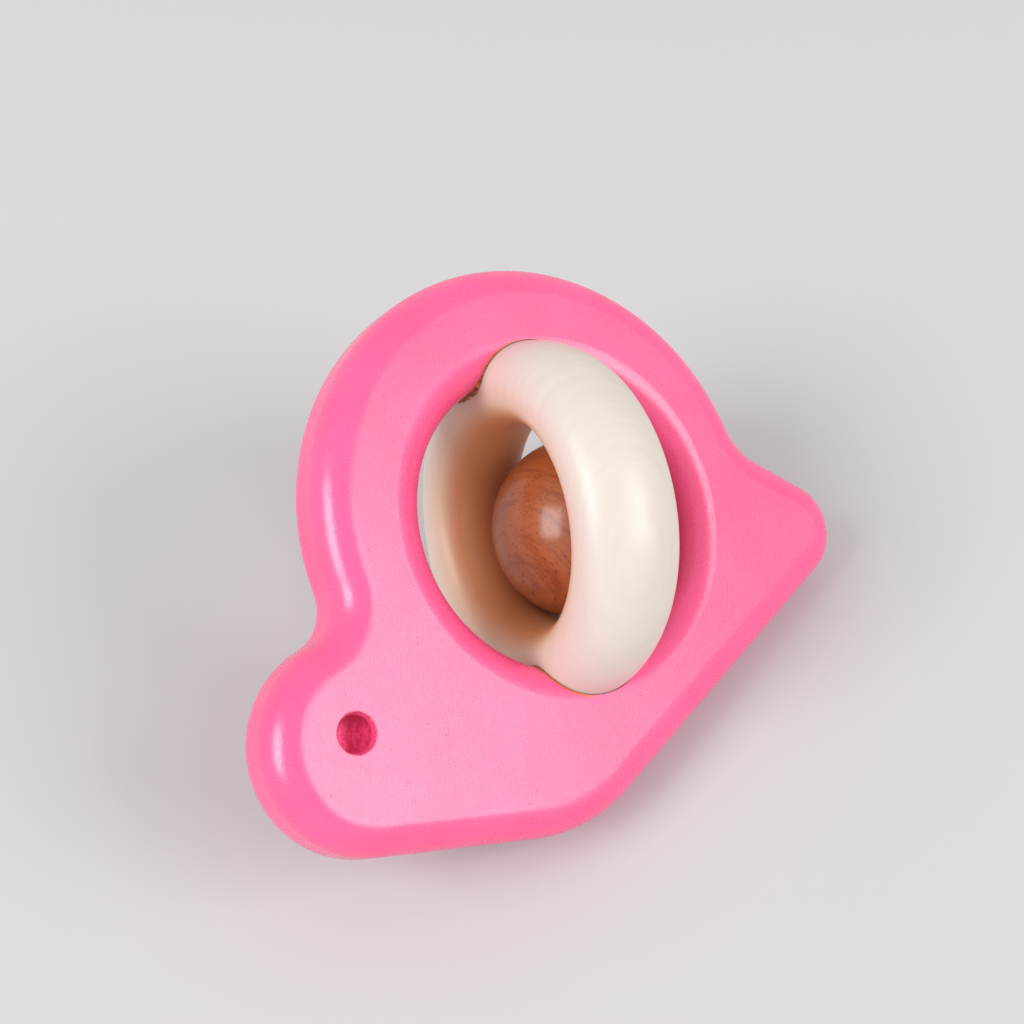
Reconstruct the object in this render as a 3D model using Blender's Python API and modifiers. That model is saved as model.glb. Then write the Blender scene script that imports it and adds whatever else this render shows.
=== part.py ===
"""Wooden snail rattle in metres, +Z up.

A board is sawn as a snail, with its shell open as a round hole. A turned ring is fixed
crosswise through the hole, in a slot at each end, and keeps a loose ball in the hole.

The pieces are drawn upright around the centre of the hole: X along the foot towards the
tail, Z up the shell, and the board's thickness along Y with its front towards -Y. An
empty then leans them back to the toy's place of rest, on the back edge of the foot and
on the ring, with the origin on the table below the middle of the toy.
"""

import math

import bmesh
import bpy
from mathutils import Matrix, Vector

NAME = "snail_rattle"

# Board
BOARD_THICKNESS = 0.0150
EDGE_RADIUS = 0.0055
HOLE_RADIUS = 0.0248

# Snail outline, from the centre of the hole. Each angle is a lean from the upright or a slope.
FOOT_DROP = 0.0406
SHELL_RADIUS = 0.0413
SHELL_CENTRE = Vector((0.0, 0.0021))
HEAD_RADIUS = 0.0170
HEAD_CENTRE = Vector((-0.0501, -0.0043))
NECK_FILLET = 0.0075
CHIN_SLOPE = math.radians(37.7)
CHIN_CORNER_RADIUS = 0.0285
TAIL_TIP_RADIUS = 0.0091
TAIL_TIP_X = 0.0366
TAIL_LEAN = math.radians(26.3)
TAIL_FILLET = 0.0105

# Eye, drilled into both faces by a bit with a conical point
EYE_DIAMETER = 0.00635
EYE_DEPTH = 0.0030
DRILL_POINT_ANGLE = math.radians(118)
EYE_CENTRE = Vector((-0.0520, -0.0011))

# Ring, with an elliptical section
RING_OUTER_RADIUS = 0.0305
RING_WALL = 0.0138
RING_WIDTH = 0.0180
RING_LEAN = math.radians(59.1)
SLOT_CLEARANCE = 0.0003

# Ball
BALL_DIAMETER = 0.0310
BALL_CLEARANCE = 0.0003

# Fineness of the faceted surfaces
ARC_STEP = math.radians(5.0)
EDGE_SEGMENTS = 5
RING_STEPS = 80
RING_SECTION_POINTS = 32
BALL_SEGMENTS = 48
EYE_SEGMENTS = 32

RING_MIDDLE_RADIUS = RING_OUTER_RADIUS - RING_WALL / 2
BALL_RADIUS = BALL_DIAMETER / 2
FLAT_HALF_THICKNESS = BOARD_THICKNESS / 2 - EDGE_RADIUS

# Directions of the ring in the upright toy: across its opening, and along its axis
RING_ACROSS = Vector((math.cos(RING_LEAN), 0, math.sin(RING_LEAN)))
RING_AXIS = Vector((math.sin(RING_LEAN), 0, -math.cos(RING_LEAN)))
BOARD_FRONT = Vector((0, -1, 0))


def polar(radius, angle):
    return Vector((radius * math.cos(angle), radius * math.sin(angle)))


def angle_of(vector):
    return math.atan2(vector.y, vector.x) % math.tau


def arc(centre, radius, start, end):
    """Points along an arc, both ends included."""
    count = max(2, math.ceil(abs(end - start) / ARC_STEP))
    return [centre + polar(radius, start + (end - start) * i / count) for i in range(count + 1)]


def upper_meeting(centre_a, radius_a, centre_b, radius_b):
    """The upper of the two points where two circles cross."""
    across = centre_b - centre_a
    reach = across.length
    along = (radius_a**2 - radius_b**2 + reach**2) / (2 * reach)
    height = math.sqrt(radius_a**2 - along**2)
    direction = across / reach
    square = Vector((-direction.y, direction.x))
    if square.y < 0:
        square.negate()
    return centre_a + direction * along + square * height


def snail_outline():
    """The board's edge, counter-clockwise from the foot: tail, shell, neck, head and chin.

    The tail's upper edge and the chin are straight. All the rest are arcs that meet tangentially.
    """
    foot_normal = 1.5 * math.pi
    tail_tip = Vector((TAIL_TIP_X, TAIL_TIP_RADIUS - FOOT_DROP))

    # The tail's fillet touches the shell and the straight edge from outside
    tail_normal = polar(1, TAIL_LEAN)
    offset = (tail_tip - SHELL_CENTRE).dot(tail_normal) + TAIL_TIP_RADIUS + TAIL_FILLET
    along = math.sqrt((SHELL_RADIUS + TAIL_FILLET) ** 2 - offset**2)
    tail_fillet = SHELL_CENTRE + tail_normal * offset + Vector((tail_normal.y, -tail_normal.x)) * along
    tail_touch = angle_of(tail_fillet - SHELL_CENTRE) - math.tau

    # The neck's fillet touches the shell and the head from outside
    neck_fillet = upper_meeting(
        SHELL_CENTRE, SHELL_RADIUS + NECK_FILLET, HEAD_CENTRE, HEAD_RADIUS + NECK_FILLET
    )
    shell_touch = angle_of(neck_fillet - SHELL_CENTRE)
    head_touch = angle_of(neck_fillet - HEAD_CENTRE)

    # The rounded corner between the chin and the foot
    chin_angle = foot_normal - CHIN_SLOPE
    chin_normal = polar(1, chin_angle)
    corner_z = CHIN_CORNER_RADIUS - FOOT_DROP
    chin_offset = HEAD_CENTRE.dot(chin_normal) + HEAD_RADIUS - CHIN_CORNER_RADIUS
    corner = Vector(((chin_offset - corner_z * chin_normal.y) / chin_normal.x, corner_z))

    arcs = [
        arc(tail_tip, TAIL_TIP_RADIUS, foot_normal - math.tau, TAIL_LEAN),
        arc(tail_fillet, TAIL_FILLET, TAIL_LEAN + math.pi, tail_touch + math.pi),
        arc(SHELL_CENTRE, SHELL_RADIUS, tail_touch, shell_touch),
        arc(neck_fillet, NECK_FILLET, shell_touch + math.pi, head_touch + math.pi),
        arc(HEAD_CENTRE, HEAD_RADIUS, head_touch, chin_angle),
        arc(corner, CHIN_CORNER_RADIUS, chin_angle, foot_normal),
    ]
    points = []
    for run in arcs:
        shared = points and (points[-1] - run[0]).length < EDGE_RADIUS / 100
        points += run[1:] if shared else run
    return points


def ring_section_point(turn, grow=0.0):
    """A point of the ring's section, x across the wall and y along the ring's axis."""
    return Vector((
        (RING_WALL / 2 + grow) * math.cos(turn),
        (RING_WIDTH / 2 + grow) * math.sin(turn),
    ))


def ring_section(grow=0.0):
    """The ring's section around its own middle, clockwise from its outer side."""
    turns = [-math.tau * i / RING_SECTION_POINTS for i in range(RING_SECTION_POINTS)]
    return [ring_section_point(turn, grow) for turn in turns]


def slot_outline():
    """A slot across the hole, as long and as wide as the ring, with ends of the ring's section."""
    middle = Vector((RING_MIDDLE_RADIUS, 0))
    section = ring_section(SLOT_CLEARANCE)
    right = [point for point in section if point.x > -SLOT_CLEARANCE]
    right.sort(key=lambda point: math.atan2(point.y, point.x))
    right_end = [middle + point for point in right]
    return right_end + [-point for point in right_end]


def drill_profile():
    """Half of the drill's outline, y up out of the wood from the board's face."""
    radius = EYE_DIAMETER / 2
    point_height = radius / math.tan(DRILL_POINT_ANGLE / 2)
    return [
        Vector((0, EYE_DEPTH)),
        Vector((radius, EYE_DEPTH)),
        Vector((radius, point_height - EYE_DEPTH)),
        Vector((0, -EYE_DEPTH)),
    ]


def ball_at_ring(turn):
    """The ball's centre as it rolls round the edge of the ring's bore.

    x is its distance from the ring's axis and y its place along that axis. The turn names the
    point of the ring's section that the ball touches, from the bore to the ring's side.
    """
    touch = ring_section_point(turn)
    normal = Vector((
        math.cos(turn) / RING_WALL,
        math.sin(turn) / RING_WIDTH,
    )).normalized()
    return Vector((RING_MIDDLE_RADIUS, 0)) + touch + normal * (BALL_RADIUS + BALL_CLEARANCE)


def gap_to_hole(centre):
    """How far the ball's surface stays from the rounded rim of the hole."""
    outward = HOLE_RADIUS + EDGE_RADIUS - math.hypot(centre.x, centre.z)
    over_rim = max(abs(centre.y) - FLAT_HALF_THICKNESS, 0)
    return math.hypot(outward, over_rim) - EDGE_RADIUS - BALL_RADIUS


def bisect(is_low, low, high):
    """The value between low and high where is_low turns from true to false."""
    for _ in range(50):
        middle = (low + high) / 2
        if is_low(middle):
            low = middle
        else:
            high = middle
    return low


def rest_lean():
    """The angle between board and table at which the foot's back edge and the ring both touch it."""
    def foot_is_nearer(lean):
        foot_reach = (
            (FOOT_DROP - EDGE_RADIUS) * math.sin(lean)
            + FLAT_HALF_THICKNESS * math.cos(lean)
            + EDGE_RADIUS
        )
        down = Vector((0, math.cos(lean), -math.sin(lean)))
        along_axis = abs(down.dot(RING_AXIS))
        in_plane = math.sqrt(1 - along_axis**2)
        section_reach = math.hypot(RING_WALL / 2 * in_plane, RING_WIDTH / 2 * along_axis)
        ring_reach = RING_MIDDLE_RADIUS * in_plane + section_reach
        return foot_reach < ring_reach

    return bisect(foot_is_nearer, 0, math.pi / 2)


def ball_rest(lean):
    """The ball's resting place: as low as the ring lets it lie, out against the rim of the hole."""
    down = Vector((0, math.cos(lean), -math.sin(lean)))
    in_plane = (down - RING_AXIS * down.dot(RING_AXIS)).normalized()

    def place(turn):
        section = ball_at_ring(turn)
        return in_plane * section.x + RING_AXIS * section.y

    def is_past_rim(turn):
        return gap_to_hole(place(turn)) < BALL_CLEARANCE

    return place(bisect(is_past_rim, math.pi / 2, math.pi))


def curve_solid(name, loops, half_length, edge_radius=0.0):
    """A flat outline in X and Z given its thickness along Y, as a closed mesh object.

    The outline is the widest line of the edge, so the edge's rounding is taken off inside it.
    """
    curve = bpy.data.curves.new(name, "CURVE")
    curve.dimensions = "2D"
    curve.fill_mode = "BOTH"
    curve.extrude = half_length - edge_radius
    curve.bevel_depth = edge_radius
    curve.bevel_resolution = EDGE_SEGMENTS - 1
    curve.offset = -edge_radius
    for loop in loops:
        spline = curve.splines.new("POLY")
        spline.points.add(len(loop) - 1)
        for spline_point, point in zip(spline.points, loop):
            spline_point.co = (point.x, point.y, 0, 1)
        spline.use_cyclic_u = True
    guide = bpy.data.objects.new(name, curve)
    bpy.context.scene.collection.objects.link(guide)
    bpy.context.view_layer.update()
    evaluated = guide.evaluated_get(bpy.context.evaluated_depsgraph_get())
    mesh = bpy.data.meshes.new_from_object(evaluated)
    bpy.data.objects.remove(guide)
    mesh.transform(Matrix.Rotation(math.pi / 2, 4, "X"))
    weld(mesh)
    return bpy.data.objects.new(name, mesh)


def weld(mesh):
    """Join the caps of a solid to its sides and turn its faces outwards."""
    bm = bmesh.new()
    bm.from_mesh(mesh)
    bmesh.ops.remove_doubles(bm, verts=bm.verts, dist=0.000005)
    bmesh.ops.recalc_face_normals(bm, faces=bm.faces)
    bm.to_mesh(mesh)
    bm.free()


def turned(name, profile, steps):
    """A solid of revolution around Z, its profile running down the outer side.

    The profile's ends are on the axis, or meet when the solid is a ring.
    """
    mesh = bpy.data.meshes.new(name)
    is_closed = profile[0] == profile[-1]
    points = profile[:-1] if is_closed else profile
    count = len(points)
    edges = [(i, (i + 1) % count) for i in range(count if is_closed else count - 1)]
    mesh.from_pydata([(point.x, 0, point.y) for point in points], edges, [])
    result = bpy.data.objects.new(name, mesh)
    turning = result.modifiers.new("turned", "SCREW")
    turning.axis = "Z"
    turning.angle = math.tau
    turning.steps = steps
    turning.render_steps = steps
    turning.use_merge_vertices = True
    turning.merge_threshold = 0.00001
    turning.use_smooth_shade = True
    return result


def new_collection(name):
    collection = bpy.data.collections.new(name)
    bpy.context.scene.collection.children.link(collection)
    return collection


def move_to(obj, collection):
    for owner in list(obj.users_collection):
        owner.objects.unlink(obj)
    collection.objects.link(obj)


def material(name, colour, roughness):
    """A Principled material, its colour given in linear values."""
    result = bpy.data.materials.new(name)
    result.use_nodes = True
    shader = result.node_tree.nodes["Principled BSDF"]
    shader.inputs["Base Color"].default_value = (*colour, 1)
    shader.inputs["Roughness"].default_value = roughness
    shader.inputs["Metallic"].default_value = 0.0
    result.diffuse_color = (*colour, 1)
    return result


def cut(target, cutter):
    modifier = target.modifiers.new(cutter.name, "BOOLEAN")
    modifier.operation = "DIFFERENCE"
    modifier.solver = "EXACT"
    modifier.object = cutter


def finish_cutter(cutter, root, collection):
    cutter.parent = root
    cutter.hide_render = True
    cutter.display_type = "WIRE"
    move_to(cutter, collection)


def build_board(root, parts, cutters):
    """The sawn board with its rounded edges, the hole, the two slots and the drilled eyes."""
    hole = arc(Vector((0, 0)), HOLE_RADIUS, 0, math.tau)[:-1]
    board = curve_solid("snail_board", [snail_outline(), hole], BOARD_THICKNESS / 2, EDGE_RADIUS)
    board.parent = root
    parts.objects.link(board)

    slot = curve_solid("slot_cutter", [slot_outline()], BOARD_THICKNESS)
    slot.rotation_euler = (0, -RING_LEAN, 0)
    finish_cutter(slot, root, cutters)
    cut(board, slot)

    for side, name in ((-1, "front_eye_cutter"), (1, "back_eye_cutter")):
        drill = turned(name, drill_profile(), EYE_SEGMENTS)
        drill.location = (EYE_CENTRE.x, side * BOARD_THICKNESS / 2, EYE_CENTRE.y)
        drill.rotation_euler = (-side * math.pi / 2, 0, 0)
        finish_cutter(drill, root, cutters)
        cut(board, drill)
    return board


def build_ring(root, parts):
    """The ring, turned in one piece and fixed across the hole with its middle in the board's."""
    middle = Vector((RING_MIDDLE_RADIUS, 0))
    section = [middle + point for point in ring_section()]
    ring = turned("ring", section + section[:1], RING_STEPS)
    parts.objects.link(ring)
    ring.rotation_euler = (0, -RING_LEAN, 0)
    ring.parent = root
    return ring


def build_ball(root, parts, centre):
    """The loose ball, with its origin at its centre, on the line that it slides along."""
    bpy.ops.mesh.primitive_uv_sphere_add(
        segments=BALL_SEGMENTS, ring_count=BALL_SEGMENTS // 2, radius=BALL_RADIUS
    )
    ball = bpy.context.object
    ball.name = "ball"
    ball.data.name = "ball"
    ball.data.shade_smooth()
    ball.location = centre
    ball.parent = root
    move_to(ball, parts)
    return ball


def set_down(root, pieces):
    """Move the toy until its lowest point is on the table and its middle is over the origin."""
    bpy.context.view_layer.update()
    graph = bpy.context.evaluated_depsgraph_get()
    points = []
    for piece in pieces:
        evaluated = piece.evaluated_get(graph)
        points += [evaluated.matrix_world @ vertex.co for vertex in evaluated.data.vertices]
    lowest = Vector(min(point[axis] for point in points) for axis in range(3))
    highest = Vector(max(point[axis] for point in points) for axis in range(3))
    middle = (lowest + highest) / 2
    root.location = (-middle.x, -middle.y, -lowest.z)
    bpy.context.view_layer.update()


def main():
    for obj in list(bpy.data.objects):
        bpy.data.objects.remove(obj)
    parts = new_collection(NAME)
    cutters = new_collection("cutters")

    lean = rest_lean()
    root = bpy.data.objects.new("hole_centre", None)
    root.empty_display_size = HOLE_RADIUS
    parts.objects.link(root)
    root.rotation_euler = (lean - math.pi / 2, 0, 0)

    board = build_board(root, parts, cutters)
    ring = build_ring(root, parts)
    ball = build_ball(root, parts, ball_rest(lean))

    board.data.shade_smooth()
    board.data.set_sharp_from_angle(angle=math.radians(40))
    board.data.materials.append(material("pink_paint", (0.956, 0.212, 0.402), 0.45))
    ring.data.materials.append(material("pale_lacquered_wood", (0.871, 0.761, 0.658), 0.28))
    ball.data.materials.append(material("brown_lacquered_wood", (0.342, 0.100, 0.045), 0.25))
    set_down(root, [board, ring, ball])


main()
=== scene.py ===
"""Looks of the wooden snail rattle: finer pieces over the CAD frame, with paint, wood and light.

The pieces are drawn upright around the centre of the hole, as the CAD source draws them: X
along the foot towards the tail, Z up the shell, Y through the board with its front at -Y.
Their meshes are then leaned back to the place of rest. Sizes are in metres, colours are linear,
and the scale of a pattern is in waves a metre.
"""

import math

import bmesh
import bpy
from mathutils import Euler, Matrix, Vector, noise


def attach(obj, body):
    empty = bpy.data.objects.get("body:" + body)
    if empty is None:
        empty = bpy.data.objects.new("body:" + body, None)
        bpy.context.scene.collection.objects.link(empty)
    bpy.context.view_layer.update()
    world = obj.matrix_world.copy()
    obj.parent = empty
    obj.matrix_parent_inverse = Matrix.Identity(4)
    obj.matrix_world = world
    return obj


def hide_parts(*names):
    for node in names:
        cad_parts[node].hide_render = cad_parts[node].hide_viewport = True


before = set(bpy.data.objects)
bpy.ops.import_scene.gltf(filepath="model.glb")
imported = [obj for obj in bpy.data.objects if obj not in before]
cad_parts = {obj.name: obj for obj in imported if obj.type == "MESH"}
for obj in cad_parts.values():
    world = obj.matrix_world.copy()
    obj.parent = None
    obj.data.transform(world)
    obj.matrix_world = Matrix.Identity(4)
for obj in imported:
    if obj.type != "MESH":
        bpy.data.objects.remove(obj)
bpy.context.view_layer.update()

# Where the toy lies
HOLE_CENTRE = Vector((0.010698, -0.001077, 0.029446))
BOARD_LEAN = math.radians(39.680)

# Board and its outline, from the centre of the hole
BOARD_THICKNESS = 0.0150
EDGE_RADIUS = 0.0055
HOLE_RADIUS = 0.0248
FOOT_DROP = 0.0406
SHELL_RADIUS = 0.0413
SHELL_CENTRE = Vector((0.0, 0.0021))
HEAD_RADIUS = 0.0170
HEAD_CENTRE = Vector((-0.0501, -0.0043))
NECK_FILLET = 0.0075
CHIN_SLOPE = math.radians(37.7)
CHIN_CORNER_RADIUS = 0.0285
TAIL_TIP_RADIUS = 0.0091
TAIL_TIP_X = 0.0366
TAIL_LEAN = math.radians(26.3)
TAIL_FILLET = 0.0105

# Eye, drilled into both faces by a bit with a conical point
EYE_RADIUS = 0.003175
EYE_DEPTH = 0.0030
EYE_CHAMFER = 0.00015
DRILL_POINT_ANGLE = math.radians(118)
EYE_CENTRE = Vector((-0.0520, -0.0011))

# Ring and ball, with the way that the ball's fibres run, towards the front and down
RING_OUTER_RADIUS = 0.0305
RING_WALL = 0.0138
RING_WIDTH = 0.0180
RING_LEAN = math.radians(59.1)
SLOT_CLEARANCE = 0.0001
BALL_RADIUS = 0.0155
BALL_CENTRE = Vector((0.017617, -0.004264, 0.024274))
BALL_GRAIN = Vector((0.0116, -0.8806, -0.4734))

# Beads of dried glue at the two slots, from their lowest to highest place over the board's middle
UPPER_BEAD = {"side": 1, "lowest": -0.0065, "highest": 0.0062, "radius": 0.0008}
LOWER_BEAD = {"side": -1, "lowest": -0.0010, "highest": 0.0070, "radius": 0.0003}
BEAD_LUMP_SIZE = 0.0007
BEAD_LUMPINESS = 0.45
WIDEST_CREVICE_TURN = math.radians(60)

# Fineness
ARC_STEP = math.radians(1.5)
EDGE_SEGMENTS = 12
RING_STEPS = 256
RING_SECTION_POINTS = 96
EYE_STEPS = 96
BALL_SUBDIVISIONS = 6
BEAD_STEPS = 40
BEAD_SIDES = 16
GROUND_SIDES = 96
CREVICE_HALVINGS = 40
WELD_DISTANCE = 0.000002
SHARP_ANGLE = math.radians(40)

# Paint: how far below the board's surface the sanded face starts and is in full
FACE_START = 0.00004
FACE_FULL = 0.00001
FACE_WAVER = 0.00001
PAINT_RELIEF = 0.000035
PINK_DARK = (0.930, 0.088, 0.255)
PINK_LIGHT = (0.950, 0.102, 0.282)
PINK_PIT = (0.55, 0.035, 0.11)

# Eye's paint: directions in the board, and pairs of where a layer starts and is in full;
# its shade and shadow layers are painted shade in the recess
EYE_RIM = (EYE_RADIUS + 0.0001, EYE_RADIUS)
EYE_FLOOR = (EYE_RADIUS, EYE_RADIUS - 0.0004)
CHIPS_WITHIN = (0.0036, 0.0033)
CHIPS_BEYOND = (0.0030, 0.0032)
TOWARDS_BROW = Vector((-0.709, 0.705))
EYE_SHADE_SPAN = (0.0018, 0.0006)
TOWARDS_SHELL = Vector((0.617, 0.787))
EYE_SHADOW_SPAN = (0.0006, 0.0022)
SWIRL_TURN = math.radians(-38)
EYE_RELIEF = 0.00016
# Painted shade in the eye's recess
EYE_SHADE = (0.490, 0.003, 0.046)
# Painted shadow of the eye's upper wall, towards the shell
EYE_SHADOW = (0.260, 0.0, 0.024)
EYE_LUMP = (0.300, 0.001, 0.030)
EYE_CHIP = (0.45, 0.02, 0.09)

# Glue on the paint: pairs of where it starts and is in full, as shares of the ring's section
AMBER_REACH = (1.085, 1.062)
AMBER_SIDE = (0.1, 0.4)
DARK_REACH = (1.028, 1.018)
GLUE_WAVER = 0.022
GLUE_AMBER = (0.640, 0.120, 0.030)
GLUE_DARK = (0.290, 0.036, 0.018)

# Pale wood: pairs of how far from the bore's narrowest place a painted shade, browned like
# bounce light from the ball, starts and is in full
BORE_SHADE_REACH = (0.0078, 0.0033)
DEEP_BORE_SHADE_REACH = (0.0038, 0.0015)
BORE_SHADE_WAVER = 0.0004
TURNING_RELIEF = 0.000005
PALE_DARK = (0.634, 0.554, 0.484)
PALE_LIGHT = (0.670, 0.595, 0.528)
# Painted shade in the bore, browned like bounce light from the ball, deepest at its narrowest place
PALE_BORE_SHADE = (0.705, 0.500, 0.335)
PALE_DEEP_BORE_SHADE = (0.670, 0.315, 0.132)

# Brown wood and its lacquer
FIBRE_RELIEF = 0.00002
LACQUER_RELIEF = 0.000012
BROWN_DARK = (0.345, 0.092, 0.024)
BROWN_LIGHT = (0.405, 0.117, 0.032)
BROWN_FIBRE = (0.240, 0.054, 0.016)
BROWN_PORE = (0.140, 0.030, 0.011)
BROWN_FLECK = (0.170, 0.036, 0.012)

# Beads of glue and torn wood
BEAD_RELIEF = 0.0002
BEAD_BLACK = (0.110, 0.022, 0.006)
BEAD_AMBER = (0.340, 0.105, 0.014)
BEAD_GOLD = (0.560, 0.260, 0.050)

# Camera, from a perspective fit of the photograph, with its place from the hole's centre
CAMERA_AZIMUTH = math.radians(-50.388)
CAMERA_ELEVATION = math.radians(49.412)
CAMERA_ROLL = math.radians(-1.6945)
CAMERA_DISTANCE = 0.277806
CAMERA_RIGHT = -0.005115
CAMERA_UP = 0.001895
CAMERA_LENS_MM = 58.628
CAMERA_NEAREST = 0.01

# Lamps: directions from the toy as the camera sees them, right, up and towards it
LAMP_DISTANCE = 1.8
KEY_DIRECTION = Vector((-0.66, 0.10, 0.74))
KEY_WIDTH = 0.80
KEY_HEIGHT = 1.08
KEY_POWER = 20.4
FILL_DIRECTION = Vector((0.75, 0.12, 0.65))
FILL_WIDTH = 0.84
FILL_HEIGHT = 1.10
FILL_POWER = 16.8

# Sky, which fades from the horizon up to directions whose Z is the zenith's height
HORIZON_STRENGTH = 0.88
ZENITH_STRENGTH = 0.63
ZENITH_HEIGHT = 0.75

# Floor
GROUND_COLOUR = (0.556, 0.548, 0.556)
GROUND_RADIUS = 1.2

# Worked out from the sizes above
BORE_RADIUS = RING_OUTER_RADIUS - RING_WALL
RING_MIDDLE_RADIUS = RING_OUTER_RADIUS - RING_WALL / 2
FLAT_HALF_THICKNESS = BOARD_THICKNESS / 2 - EDGE_RADIUS

# Axes of the upright toy, of the ring in it, of the ball and of the camera
UPRIGHT = Matrix.Translation(HOLE_CENTRE) @ Matrix.Rotation(BOARD_LEAN - math.pi / 2, 4, "X")
RING_TURN = Matrix.Rotation(-RING_LEAN, 4, "Y")
BALL_TURN = BALL_GRAIN.to_track_quat("X", "Z").to_matrix().to_4x4()
BALL_AXES = Matrix.Translation(BALL_CENTRE) @ BALL_TURN
CAMERA_TURN = (
    Euler((math.pi / 2 - CAMERA_ELEVATION, 0, CAMERA_AZIMUTH)).to_matrix()
    @ Matrix.Rotation(CAMERA_ROLL, 3, "Z")
)


def polar(radius, angle):
    return Vector((radius * math.cos(angle), radius * math.sin(angle)))


def angle_of(vector):
    return math.atan2(vector.y, vector.x) % math.tau


def arc(centre, radius, start, end):
    """Points along an arc, both ends included."""
    count = max(2, math.ceil(abs(end - start) / ARC_STEP))
    return [centre + polar(radius, start + (end - start) * i / count) for i in range(count + 1)]


def upper_meeting(centre_a, radius_a, centre_b, radius_b):
    """The upper of the two points where two circles cross."""
    across = centre_b - centre_a
    reach = across.length
    along = (radius_a**2 - radius_b**2 + reach**2) / (2 * reach)
    height = math.sqrt(radius_a**2 - along**2)
    direction = across / reach
    square = Vector((-direction.y, direction.x))
    if square.y < 0:
        square.negate()
    return centre_a + direction * along + square * height


def snail_outline():
    """The board's edge, counter-clockwise from the foot: tail, shell, neck, head and chin."""
    foot_normal = 1.5 * math.pi
    tail_tip = Vector((TAIL_TIP_X, TAIL_TIP_RADIUS - FOOT_DROP))
    tail_normal = polar(1, TAIL_LEAN)
    tail_edge = Vector((tail_normal.y, -tail_normal.x))
    offset = (tail_tip - SHELL_CENTRE).dot(tail_normal) + TAIL_TIP_RADIUS + TAIL_FILLET
    along = math.sqrt((SHELL_RADIUS + TAIL_FILLET) ** 2 - offset**2)
    tail_fillet = SHELL_CENTRE + tail_normal * offset + tail_edge * along
    tail_touch = angle_of(tail_fillet - SHELL_CENTRE) - math.tau
    neck_fillet = upper_meeting(
        SHELL_CENTRE, SHELL_RADIUS + NECK_FILLET, HEAD_CENTRE, HEAD_RADIUS + NECK_FILLET
    )
    shell_touch = angle_of(neck_fillet - SHELL_CENTRE)
    head_touch = angle_of(neck_fillet - HEAD_CENTRE)
    chin_angle = foot_normal - CHIN_SLOPE
    chin_normal = polar(1, chin_angle)
    corner_z = CHIN_CORNER_RADIUS - FOOT_DROP
    chin_offset = HEAD_CENTRE.dot(chin_normal) + HEAD_RADIUS - CHIN_CORNER_RADIUS
    corner = Vector(((chin_offset - corner_z * chin_normal.y) / chin_normal.x, corner_z))
    arcs = [
        arc(tail_tip, TAIL_TIP_RADIUS, foot_normal - math.tau, TAIL_LEAN),
        arc(tail_fillet, TAIL_FILLET, TAIL_LEAN + math.pi, tail_touch + math.pi),
        arc(SHELL_CENTRE, SHELL_RADIUS, tail_touch, shell_touch),
        arc(neck_fillet, NECK_FILLET, shell_touch + math.pi, head_touch + math.pi),
        arc(HEAD_CENTRE, HEAD_RADIUS, head_touch, chin_angle),
        arc(corner, CHIN_CORNER_RADIUS, chin_angle, foot_normal),
    ]
    points = []
    for run in arcs:
        is_shared = points and (points[-1] - run[0]).length < WELD_DISTANCE
        points += run[1:] if is_shared else run
    return points


def ring_section(grow=0.0):
    """The ring's section, x from its axis and y along it, clockwise from the outer side."""
    turns = [-math.tau * i / RING_SECTION_POINTS for i in range(RING_SECTION_POINTS)]
    return [
        Vector((
            RING_MIDDLE_RADIUS + (RING_WALL / 2 + grow) * math.cos(turn),
            (RING_WIDTH / 2 + grow) * math.sin(turn),
        ))
        for turn in turns
    ]


def drill_profile():
    """Half of the drill's outline, y up out of the wood from the board's face."""
    point_height = EYE_RADIUS / math.tan(DRILL_POINT_ANGLE / 2)
    return [
        Vector((0, -EYE_DEPTH)),
        Vector((EYE_RADIUS, point_height - EYE_DEPTH)),
        Vector((EYE_RADIUS, -EYE_CHAMFER)),
        Vector((EYE_RADIUS + EYE_CHAMFER + EYE_DEPTH, EYE_DEPTH)),
        Vector((0, EYE_DEPTH)),
    ]


def new_object(name, data):
    obj = bpy.data.objects.new(name, data)
    bpy.context.scene.collection.objects.link(obj)
    return obj


def welded_object(name, bm):
    """An object of the mesh, welded and with its faces turned outwards."""
    bmesh.ops.remove_doubles(bm, verts=bm.verts, dist=WELD_DISTANCE)
    bmesh.ops.recalc_face_normals(bm, faces=bm.faces)
    mesh = bpy.data.meshes.new(name)
    bm.to_mesh(mesh)
    bm.free()
    return new_object(name, mesh)


def evaluated_mesh(obj):
    """A new mesh of the object as its modifiers, or its curve, make it."""
    bpy.context.view_layer.update()
    evaluated = obj.evaluated_get(bpy.context.evaluated_depsgraph_get())
    return bpy.data.meshes.new_from_object(evaluated)


def rounded_board(loops):
    """The flat outline in X and Z given its thickness along Y and its rounded edges."""
    curve = bpy.data.curves.new("board_outline", "CURVE")
    curve.dimensions = "2D"
    curve.fill_mode = "BOTH"
    curve.extrude = FLAT_HALF_THICKNESS
    curve.bevel_depth = EDGE_RADIUS
    curve.bevel_resolution = EDGE_SEGMENTS - 1
    curve.offset = -EDGE_RADIUS
    for loop in loops:
        spline = curve.splines.new("POLY")
        spline.points.add(len(loop) - 1)
        for spline_point, point in zip(spline.points, loop):
            spline_point.co = (point.x, point.y, 0, 1)
        spline.use_cyclic_u = True
    guide = new_object("board_outline", curve)
    bm = bmesh.new()
    bm.from_mesh(evaluated_mesh(guide))
    bpy.data.objects.remove(guide)
    bm.transform(Matrix.Rotation(math.pi / 2, 4, "X"))
    return welded_object("painted_board", bm)


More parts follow.
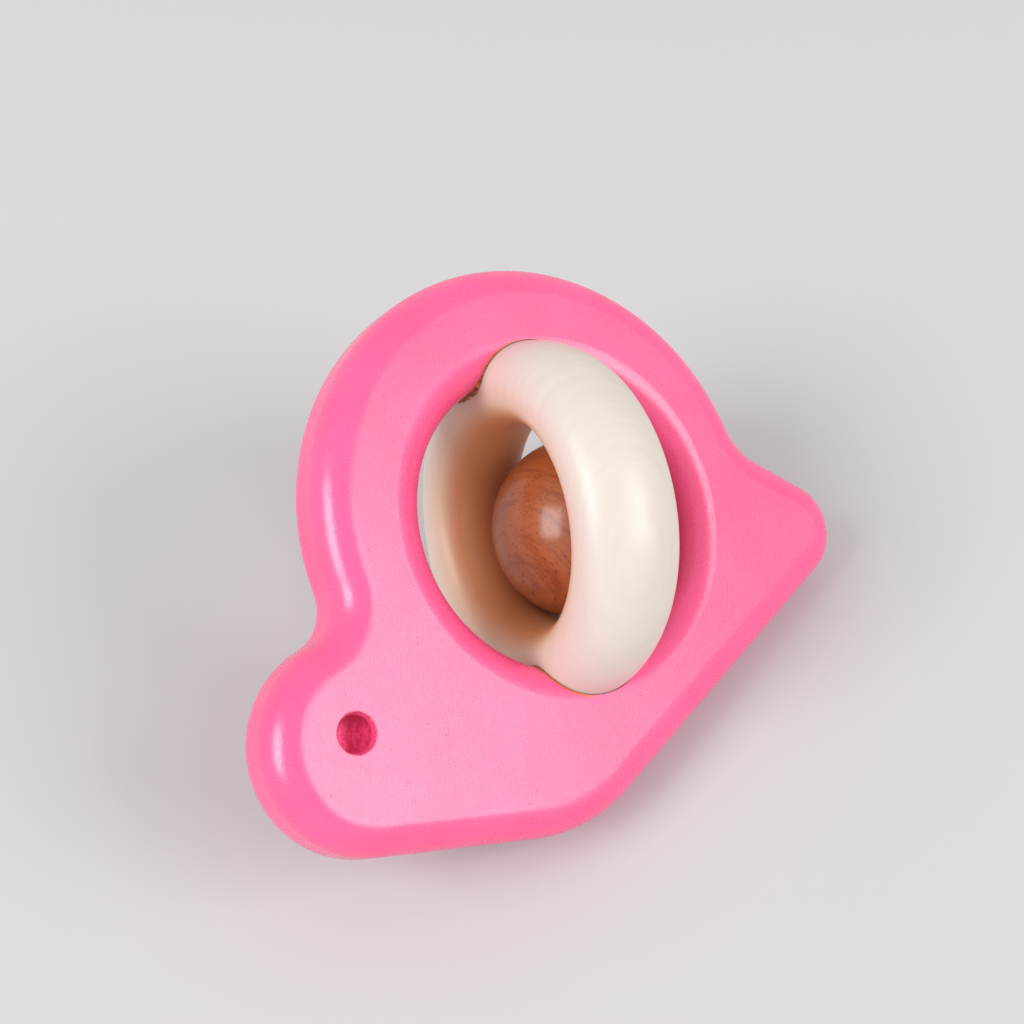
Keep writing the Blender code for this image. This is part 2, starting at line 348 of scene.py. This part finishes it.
def turned(name, profile, steps, is_ring):
    """A profile of x and z turned about Z, as a closed mesh object."""
    bm = bmesh.new()
    rim = [bm.verts.new((point.x, 0, point.y)) for point in profile]
    following = rim[1:] + rim[:1] if is_ring else rim[1:]
    edges = [bm.edges.new(pair) for pair in zip(rim, following)]
    bmesh.ops.spin(
        bm, geom=rim + edges, cent=(0, 0, 0), axis=(0, 0, 1), angle=math.tau, steps=steps,
        use_duplicate=False,
    )
    return welded_object(name, bm)


def apply_modifiers(obj):
    mesh = evaluated_mesh(obj)
    obj.modifiers.clear()
    obj.data = mesh


def cut(target, cutters):
    """Take the cutters out of the target and clear them away."""
    for cutter in cutters:
        modifier = target.modifiers.new(cutter.name, "BOOLEAN")
        modifier.operation = "DIFFERENCE"
        modifier.solver = "EXACT"
        modifier.object = cutter
    apply_modifiers(target)
    for cutter in cutters:
        bpy.data.objects.remove(cutter)


def build_board():
    """The board with its rounded edges and hole, the ring's slots and an eye in each face."""
    hole = arc(Vector((0, 0)), HOLE_RADIUS, 0, math.tau)[:-1]
    board = rounded_board([snail_outline(), hole])
    slot = turned("slot", ring_section(SLOT_CLEARANCE), RING_STEPS, is_ring=True)
    slot.matrix_world = RING_TURN
    cutters = [slot]
    for side in (-1, 1):
        drill = turned("drill", drill_profile(), EYE_STEPS, is_ring=False)
        place = Vector((EYE_CENTRE.x, side * BOARD_THICKNESS / 2, EYE_CENTRE.y))
        turn = Matrix.Rotation(-side * math.pi / 2, 4, "X")
        drill.matrix_world = Matrix.Translation(place) @ turn
        cutters.append(drill)
    cut(board, cutters)
    board.data.transform(UPRIGHT)
    board.data.shade_smooth()
    board.data.set_sharp_from_angle(angle=SHARP_ANGLE)
    flat_faces = board.modifiers.new("flat_faces", "WEIGHTED_NORMAL")
    flat_faces.keep_sharp = True
    apply_modifiers(board)
    return board


def build_ring():
    ring = turned("turned_ring", ring_section(), RING_STEPS, is_ring=True)
    ring.data.transform(UPRIGHT @ RING_TURN)
    ring.data.shade_smooth()
    return ring


def build_ball():
    bm = bmesh.new()
    bmesh.ops.create_icosphere(bm, subdivisions=BALL_SUBDIVISIONS, radius=BALL_RADIUS)
    ball = welded_object("loose_ball", bm)
    ball.data.transform(BALL_AXES)
    ball.data.shade_smooth()
    return ball


def crevice(side, height):
    """Where the ring leaves the rim of the hole, on the ring's side towards the head.

    The side is 1 for the upper slot and -1 for the lower, the height is from the board's middle
    towards its front, and the point is in the ring's own axes.
    """
    over_flat = max(abs(height) - FLAT_HALF_THICKNESS, 0)
    rim = HOLE_RADIUS + EDGE_RADIUS - math.sqrt(EDGE_RADIUS**2 - over_flat**2)
    low, high = 0.0, WIDEST_CREVICE_TURN
    for _ in range(CREVICE_HALVINGS):
        middle = (low + high) / 2
        across, along = rim * math.cos(middle), rim * math.sin(middle)
        from_middle = (math.hypot(across, height) - RING_MIDDLE_RADIUS) / (RING_WALL / 2)
        is_inside = math.hypot(from_middle, along / (RING_WIDTH / 2)) < 1
        low, high = (middle, high) if is_inside else (low, middle)
    return Vector((side * rim * math.cos(low), -height, rim * math.sin(low)))


def build_bead(name, side, lowest, highest, radius):
    """A rough bead of dried glue and torn wood down the crevice between the ring and the board."""
    bm = bmesh.new()
    rims = []
    for i in range(BEAD_STEPS + 1):
        share = i / BEAD_STEPS
        middle = crevice(side, lowest + (highest - lowest) * share)
        swell = math.sqrt(math.sin(math.pi * share))
        rim = []
        for k in range(BEAD_SIDES):
            turn = math.tau * k / BEAD_SIDES
            outward = Vector((math.cos(turn), 0, math.sin(turn)))
            lump = noise.noise((middle + outward * radius) / BEAD_LUMP_SIZE)
            reach = radius * swell * (1 + BEAD_LUMPINESS * lump)
            rim.append(bm.verts.new(middle + outward * reach))
        rims.append(rim)
    for first, second in zip(rims, rims[1:]):
        for k in range(BEAD_SIDES):
            bm.faces.new((first[k - 1], first[k], second[k], second[k - 1]))
    bead = welded_object(name, bm)
    bead.data.transform(UPRIGHT @ RING_TURN)
    bead.data.shade_smooth()
    return bead


class Nodes:
    """A short way to write a material's nodes, in the coordinates of given axes at rest."""

    def __init__(self, name, axes):
        self.material = bpy.data.materials.new(name)
        self.material.use_nodes = True
        self.tree = self.material.node_tree
        self.shader = self.tree.nodes["Principled BSDF"]
        self.at_rest = self.add("ShaderNodeTexCoord").outputs["Object"]
        self.own = self.coordinates(axes)

    def add(self, kind, inputs=None, **settings):
        node = self.tree.nodes.new(kind)
        for key, value in settings.items():
            setattr(node, key, value)
        for key, value in (inputs or {}).items():
            self.put(node.inputs[key], value)
        return node

    def put(self, socket, value):
        """Link a node's output to the socket, or set the socket to a number, vector or colour."""
        if isinstance(value, bpy.types.NodeSocket):
            self.tree.links.new(value, socket)
        elif socket.type == "RGBA":
            socket.default_value = (*value, 1)
        else:
            socket.default_value = value

    def coordinates(self, axes):
        """The coordinates at rest in the given axes."""
        inputs = {
            "Vector": self.at_rest,
            "Location": axes.to_translation(),
            "Rotation": axes.to_euler(),
        }
        return self.add("ShaderNodeMapping", inputs, vector_type="TEXTURE").outputs[0]

    def place(self, scale, turn=(0, 0, 0)):
        """The material's own coordinates, turned and then stretched."""
        turned_round = self.add("ShaderNodeMapping", {"Vector": self.own, "Rotation": turn})
        inputs = {"Vector": turned_round.outputs[0], "Scale": scale}
        return self.add("ShaderNodeMapping", inputs).outputs[0]

    def axis(self, name, coordinates=None):
        return self.add("ShaderNodeSeparateXYZ", {0: coordinates or self.own}).outputs[name]

    def vector(self, *parts):
        return self.add("ShaderNodeCombineXYZ", dict(enumerate(parts))).outputs[0]

    def distance(self, *parts):
        """The length of a vector given by its parts."""
        inputs = {0: self.vector(*parts)}
        return self.add("ShaderNodeVectorMath", inputs, operation="LENGTH").outputs["Value"]

    def math(self, operation, a, b=0.0):
        return self.add("ShaderNodeMath", {0: a, 1: b}, operation=operation).outputs[0]

    def along(self, direction, x, z):
        """How far a point lies along a direction in the board."""
        in_x = self.math("MULTIPLY", x, direction.x)
        in_z = self.math("MULTIPLY", z, direction.y)
        return self.math("ADD", in_x, in_z)

    def ramp(self, value, low, high, start=0.0, end=1.0):
        """Straight from the start, where the value is low, to the end at high, and level beyond."""
        inputs = {"Value": value, "From Min": low, "From Max": high, "To Min": start, "To Max": end}
        return self.add("ShaderNodeMapRange", inputs).outputs["Result"]

    def between(self, share, start, end):
        """Straight from the start, where the share is 0, to the end, where it is 1."""
        return self.ramp(share, 0, 1, start, end)

    def noise(self, vector, scale=1.0, detail=3.0, roughness=0.5):
        inputs = {"Vector": vector, "Scale": scale, "Detail": detail, "Roughness": roughness}
        return self.add("ShaderNodeTexNoise", inputs).outputs["Fac"]

    def waver(self, scale, reach):
        """A noise that goes up to the reach either way."""
        return self.ramp(self.noise(self.own, scale), 0.3, 0.7, -reach, reach)

    def dots(self, vector, scale, radius):
        """Round dots scattered one to a cell, their radius as a share of the cell."""
        cells = self.add("ShaderNodeTexVoronoi", {"Vector": vector, "Scale": scale})
        return self.ramp(cells.outputs["Distance"], radius, radius / 2)

    def blend(self, factor, first, second):
        """The first colour where the factor is 0 and the second where it is 1."""
        # A Mix node has its two colours at the inputs 6 and 7, and the result at the output 2
        inputs = {"Factor": factor, 6: first, 7: second}
        return self.add("ShaderNodeMix", inputs, data_type="RGBA").outputs[2]

    def bump(self, height, distance, normal=None):
        inputs = {"Height": height, "Distance": distance}
        if normal is not None:
            inputs["Normal"] = normal
        return self.add("ShaderNodeBump", inputs).outputs["Normal"]

    def finish(self, **inputs):
        """Set the shader's inputs, named with _ for a space, and give the material."""
        for key, value in inputs.items():
            self.put(self.shader.inputs[key.replace("_", " ")], value)
        return self.material


def eye_paint(n, colour):
    """The paint's colour with the drilled eye's in it, the eye's extent and its relief.

    The eye's paint is darkened by painted shade in the recess, less so towards the brow where
    light falls, and further towards the shell by a painted shadow of the upper wall. It is lumpy,
    and chipped round the rim. The bit has left rings under it.
    """
    x = n.math("SUBTRACT", n.axis("X"), EYE_CENTRE.x)
    z = n.math("SUBTRACT", n.axis("Z"), EYE_CENTRE.y)
    from_eye = n.distance(x, z)
    on_floor = n.ramp(from_eye, *EYE_FLOOR)
    lumps = n.noise(n.own, scale=3000, detail=2.0)
    swirl = n.noise(n.place(scale=(2600, 1000, 500), turn=(0, SWIRL_TURN, 0)), detail=2.0)

    # Painted shade in the eye's recess, lighter towards the brow where light falls, streaked by the
    # bit's swirl
    recess_shade = n.ramp(n.along(TOWARDS_BROW, x, z), *EYE_SHADE_SPAN, start=0.05, end=0.80)
    recess_shade = n.math("ADD", recess_shade, n.ramp(swirl, 0.4, 0.6, start=-0.10, end=0.14))
    colour = n.blend(n.math("MULTIPLY", on_floor, recess_shade), colour, EYE_SHADE)
    # Painted shadow of the upper wall, darker towards the shell
    shell_side_shadow = n.ramp(n.along(TOWARDS_SHELL, x, z), *EYE_SHADOW_SPAN, end=0.75)
    colour = n.blend(n.math("MULTIPLY", on_floor, shell_side_shadow), colour, EYE_SHADOW)
    lumpy = n.ramp(lumps, 0.52, 0.60, end=0.45)
    colour = n.blend(n.math("MULTIPLY", on_floor, lumpy), colour, EYE_LUMP)
    on_rim = n.math("MULTIPLY", n.ramp(from_eye, *CHIPS_BEYOND), n.ramp(from_eye, *CHIPS_WITHIN))
    chipped = n.ramp(lumps, 0.50, 0.62, end=0.8)
    colour = n.blend(n.math("MULTIPLY", on_rim, chipped), colour, EYE_CHIP)

    in_eye = n.ramp(from_eye, *EYE_RIM)
    rings = n.noise(n.vector(from_eye), scale=3200, detail=2.0)
    relief = n.math("MULTIPLY", n.math("ADD", rings, lumps), in_eye)
    return colour, in_eye, relief


def glue_stain(n, colour):
    """The paint's colour with dark glue in the ring's slots and amber glue beside them.

    The amber shows on the ring's side towards the head. The reach is 1 at the ring's surface.
    """
    in_ring = n.coordinates(UPRIGHT @ RING_TURN)
    from_axis = n.distance(n.axis("X", in_ring), n.axis("Y", in_ring))
    outward = n.math("DIVIDE", n.math("SUBTRACT", from_axis, RING_MIDDLE_RADIUS), RING_WALL / 2)
    along = n.math("DIVIDE", n.axis("Z", in_ring), RING_WIDTH / 2)
    reach = n.distance(outward, along)
    wavering_reach = n.math("ADD", reach, n.waver(scale=900, reach=GLUE_WAVER))
    amber_side = n.ramp(along, *AMBER_SIDE, end=0.85)
    amber = n.math("MULTIPLY", n.ramp(wavering_reach, *AMBER_REACH), amber_side)
    colour = n.blend(amber, colour, GLUE_AMBER)
    return n.blend(n.ramp(reach, *DARK_REACH, end=0.9), colour, GLUE_DARK)


def pink_paint():
    """Satin paint: raised fibres, pimples and pits on the sanded faces, smoother over the edges."""
    n = Nodes("pink_paint", UPRIGHT)
    half = BOARD_THICKNESS / 2
    from_middle = n.math("ABSOLUTE", n.axis("Y"))
    from_middle = n.math("ADD", from_middle, n.waver(scale=250, reach=FACE_WAVER))
    face = n.ramp(from_middle, half - FACE_START, half - FACE_FULL)

    along_grain = n.place(scale=(700, 700, 4200), turn=(0, math.radians(45), 0))
    fibres = n.noise(along_grain, detail=4.0, roughness=0.6)
    grain = n.noise(n.own, scale=3600, roughness=0.65)
    broad = n.noise(n.own, scale=70)
    pimples = n.dots(n.own, scale=400, radius=0.070)
    pits = n.dots(n.place(scale=(1, 1, 1), turn=(0.5, 0.7, 0.3)), scale=360, radius=0.062)

    colour = n.blend(n.ramp(broad, 0.35, 0.65), PINK_DARK, PINK_LIGHT)
    pitted = n.math("MULTIPLY", pits, n.between(face, 0.2, 0.8))
    colour = n.blend(pitted, colour, PINK_PIT)
    colour, in_eye, eye_relief = eye_paint(n, colour)
    colour = glue_stain(n, colour)

    relief = n.math("MULTIPLY", n.math("ADD", fibres, grain), n.between(face, 0.35, 0.75))
    relief = n.math("ADD", relief, n.math("SUBTRACT", pimples, pits))
    speckle = n.ramp(n.noise(n.own, scale=5200, detail=1.0), 0.38, 0.62, start=-0.09, end=0.11)
    roughness = n.math("ADD", n.between(face, 0.24, 0.25), speckle)
    return n.finish(
        Base_Color=colour,
        Roughness=n.math("ADD", roughness, n.math("MULTIPLY", in_eye, 0.60)),
        IOR=1.62,
        Specular_IOR_Level=n.between(in_eye, 0.5, 0.26),
        Normal=n.bump(eye_relief, EYE_RELIEF, n.bump(relief, PAINT_RELIEF)),
    )


def pale_wood():
    """Lacquered pale wood with painted shade and bounce in the bore, fine turning lines, hardly any
    figure.
    """
    n = Nodes("pale_lacquered_wood", UPRIGHT @ RING_TURN)
    along_grain = n.place(scale=(60, 900, 60), turn=(0.3, 0.2, 0.4))
    figure = n.noise(along_grain, detail=4.0, roughness=0.55)
    colour = n.blend(n.ramp(figure, 0.3, 0.7), PALE_DARK, PALE_LIGHT)
    from_axis = n.distance(n.axis("X"), n.axis("Y"))
    from_axis = n.math("ADD", from_axis, n.between(figure, -BORE_SHADE_WAVER, BORE_SHADE_WAVER))
    # Painted shade in the bore, warm like bounce light from the brown ball, deepest at the
    # narrowest place
    for reach, painted_shade in ((BORE_SHADE_REACH, PALE_BORE_SHADE), (DEEP_BORE_SHADE_REACH, PALE_DEEP_BORE_SHADE)):
        start, full = reach
        in_painted_shade = n.ramp(from_axis, BORE_RADIUS + start, BORE_RADIUS + full)
        colour = n.blend(in_painted_shade, colour, painted_shade)
    lines = n.noise(n.vector(n.axis("Z")), scale=2500, roughness=0.6)
    return n.finish(
        Base_Color=colour,
        Roughness=0.46,
        Coat_Weight=0.35,
        Coat_Roughness=0.28,
        Normal=n.bump(lines, TURNING_RELIEF),
    )


def brown_wood():
    """Lacquered reddish brown wood, its fibres along X, with dark pores and short cross marks."""
    n = Nodes("brown_lacquered_wood", BALL_AXES)
    broad = n.noise(n.place(scale=(70, 260, 120)), detail=2.0)
    fibres = n.noise(n.place(scale=(60, 1050, 110)), detail=4.0, roughness=0.6)
    pores = n.noise(n.place(scale=(650, 4200, 1400)), detail=2.0)
    flecks = n.noise(n.place(scale=(3600, 500, 700), turn=(0, 0, 0.25)), detail=2.0)
    lacquer = n.noise(n.own, scale=5500, detail=1.0)
    colour = n.blend(n.ramp(broad, 0.3, 0.7), BROWN_DARK, BROWN_LIGHT)
    colour = n.blend(n.ramp(fibres, 0.50, 0.66, end=0.72), colour, BROWN_FIBRE)
    colour = n.blend(n.ramp(pores, 0.60, 0.70, end=0.70), colour, BROWN_PORE)
    colour = n.blend(n.ramp(flecks, 0.60, 0.70, end=0.60), colour, BROWN_FLECK)
    return n.finish(
        Base_Color=colour,
        Roughness=0.42,
        Specular_IOR_Level=0.3,
        Coat_Weight=0.58,
        Coat_Roughness=0.13,
        Normal=n.bump(n.math("ADD", fibres, pores), FIBRE_RELIEF),
        Coat_Normal=n.bump(lacquer, LACQUER_RELIEF),
    )


def torn_wood():
    """Golden brown glue and torn fibres, mottled from amber to nearly black."""
    n = Nodes("torn_wood", UPRIGHT @ RING_TURN)
    mottle = n.noise(n.own, scale=1100, roughness=0.6)
    colour = n.blend(n.ramp(mottle, 0.36, 0.52), BEAD_BLACK, BEAD_AMBER)
    colour = n.blend(n.ramp(mottle, 0.52, 0.68), colour, BEAD_GOLD)
    return n.finish(Base_Color=colour, Roughness=0.5, Normal=n.bump(mottle, BEAD_RELIEF))


def ground_material():
    n = Nodes("ground", Matrix())
    return n.finish(Base_Color=GROUND_COLOUR, Roughness=0.9, Specular_IOR_Level=0.1)


def build_ground():
    bm = bmesh.new()
    bmesh.ops.create_circle(bm, cap_ends=True, segments=GROUND_SIDES, radius=GROUND_RADIUS)
    ground = welded_object("ground", bm)
    ground.data.materials.append(ground_material())


def add_lamp(name, direction, width, height, power):
    """A soft box that looks at the hole."""
    data = bpy.data.lights.new(name, "AREA")
    data.shape = "RECTANGLE"
    data.size = width
    data.size_y = height
    data.energy = power
    lamp = new_object(name, data)
    towards = direction.normalized()
    right = Vector((0, 1, 0)).cross(towards).normalized()
    turn = CAMERA_TURN @ Matrix((right, towards.cross(right), towards)).transposed()
    place = HOLE_CENTRE + CAMERA_TURN @ towards * LAMP_DISTANCE
    lamp.matrix_world = Matrix.Translation(place) @ turn.to_4x4()


def add_sky():
    """A white sky, stronger at the horizon than overhead."""
    world = bpy.data.worlds.new("studio")
    world.use_nodes = True
    tree = world.node_tree
    background = tree.nodes["Background"]
    background.inputs["Color"].default_value = (1, 1, 1, 1)
    direction = tree.nodes.new("ShaderNodeTexCoord")
    parts = tree.nodes.new("ShaderNodeSeparateXYZ")
    strength = tree.nodes.new("ShaderNodeMapRange")
    strength.inputs["From Max"].default_value = ZENITH_HEIGHT
    strength.inputs["To Min"].default_value = HORIZON_STRENGTH
    strength.inputs["To Max"].default_value = ZENITH_STRENGTH
    tree.links.new(direction.outputs["Generated"], parts.inputs[0])
    tree.links.new(parts.outputs["Z"], strength.inputs["Value"])
    tree.links.new(strength.outputs["Result"], background.inputs["Strength"])
    bpy.context.scene.world = world


def add_camera():
    data = bpy.data.cameras.new("camera")
    data.lens = CAMERA_LENS_MM
    data.clip_start = CAMERA_NEAREST
    camera = new_object("camera", data)
    eye = HOLE_CENTRE + CAMERA_TURN @ Vector((CAMERA_RIGHT, CAMERA_UP, CAMERA_DISTANCE))
    camera.matrix_world = Matrix.Translation(eye) @ CAMERA_TURN.to_4x4()
    bpy.context.scene.camera = camera


def dress(piece, material, body):
    piece.data.materials.clear()
    piece.data.materials.append(material)
    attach(piece, body)


def main():
    board = build_board()
    ring = build_ring()
    ball = build_ball()
    dress(board, pink_paint(), "snail")
    dress(ring, pale_wood(), "snail")
    dress(ball, brown_wood(), "ball")
    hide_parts("snail_board")
    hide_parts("ring")
    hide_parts("ball")
    glue = torn_wood()
    for name, bead in (("upper_glue_bead", UPPER_BEAD), ("lower_glue_bead", LOWER_BEAD)):
        dress(build_bead(name, **bead), glue, "snail")
    build_ground()
    add_lamp("key_lamp", KEY_DIRECTION, KEY_WIDTH, KEY_HEIGHT, KEY_POWER)
    add_lamp("fill_lamp", FILL_DIRECTION, FILL_WIDTH, FILL_HEIGHT, FILL_POWER)
    add_sky()
    add_camera()
    bpy.context.scene.view_settings.view_transform = "Standard"
    bpy.context.view_layer.update()


main()
